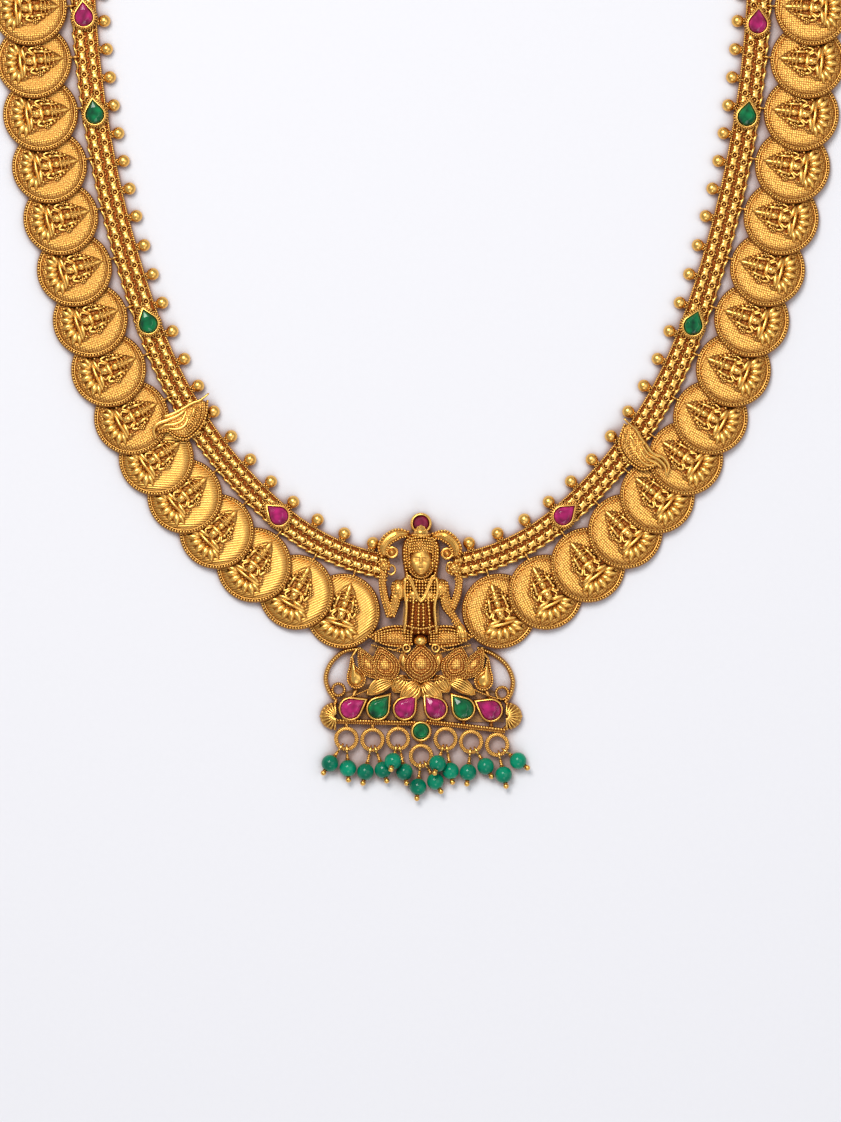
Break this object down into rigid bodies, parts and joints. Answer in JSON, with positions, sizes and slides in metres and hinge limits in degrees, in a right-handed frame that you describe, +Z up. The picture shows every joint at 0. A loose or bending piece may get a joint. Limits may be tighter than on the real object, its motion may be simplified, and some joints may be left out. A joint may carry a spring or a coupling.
{
  "type": "temple jewellery necklace",
  "caption": "Antique gold temple necklace with overlapping figure coins, a linked band, a crowned deity pendant on a lotus, ruby and green stones and green bead drops.",
  "frame": {"origin": "centre of the necklace's box, on the surface it lies on", "axes": "+Z up from the surface through the front of the ornament, -Y toward the pendant, +X to the viewer's right in the picture"},
  "size_m": [0.1722, 0.2435, 0.0062],
  "materials": {
    "antique_gold": "satin",
    "ruby_glass": "polished",
    "green_glass": "polished",
    "green_onyx": "polished"
  },
  "bodies": {
    "root": {"band_left": "antique_gold", "band_right": "antique_gold", "coin_left_01": "antique_gold", "coin_left_02": "antique_gold", "coin_left_03": "antique_gold", "coin_left_04": "antique_gold", "coin_left_05": "antique_gold", "coin_left_06": "antique_gold", "coin_left_07": "antique_gold", "coin_left_08": "antique_gold", "coin_left_09": "antique_gold", "coin_left_10": "antique_gold", "coin_left_11": "antique_gold", "coin_left_12": "antique_gold", "coin_left_13": "antique_gold", "coin_left_14": "antique_gold", "coin_left_15": "antique_gold", "coin_right_01": "antique_gold", "coin_right_02": "antique_gold", "coin_right_03": "antique_gold", "coin_right_04": "antique_gold", "coin_right_05": "antique_gold", "coin_right_06": "antique_gold", "coin_right_07": "antique_gold", "coin_right_08": "antique_gold", "coin_right_09": "antique_gold", "coin_right_10": "antique_gold", "coin_right_11": "antique_gold", "coin_right_12": "antique_gold", "coin_right_13": "antique_gold", "coin_right_14": "antique_gold", "coin_right_15": "antique_gold", "back_coins_left": "antique_gold", "back_coins_right": "antique_gold", "bird_left": "antique_gold", "bird_right": "antique_gold", "pendant": "antique_gold", "drop_pins": "antique_gold", "chain_left": "antique_gold", "chain_right": "antique_gold", "clasp": "antique_gold", "band_stone_left_1": "ruby_glass", "band_stone_left_2": "green_glass", "band_stone_left_3": "green_glass", "band_stone_left_4": "ruby_glass", "band_stone_right_1": "ruby_glass", "band_stone_right_2": "green_glass", "band_stone_right_3": "green_glass", "band_stone_right_4": "ruby_glass", "pendant_stones": "ruby_glass", "beads": "green_onyx"}
  },
  "joints": []
}
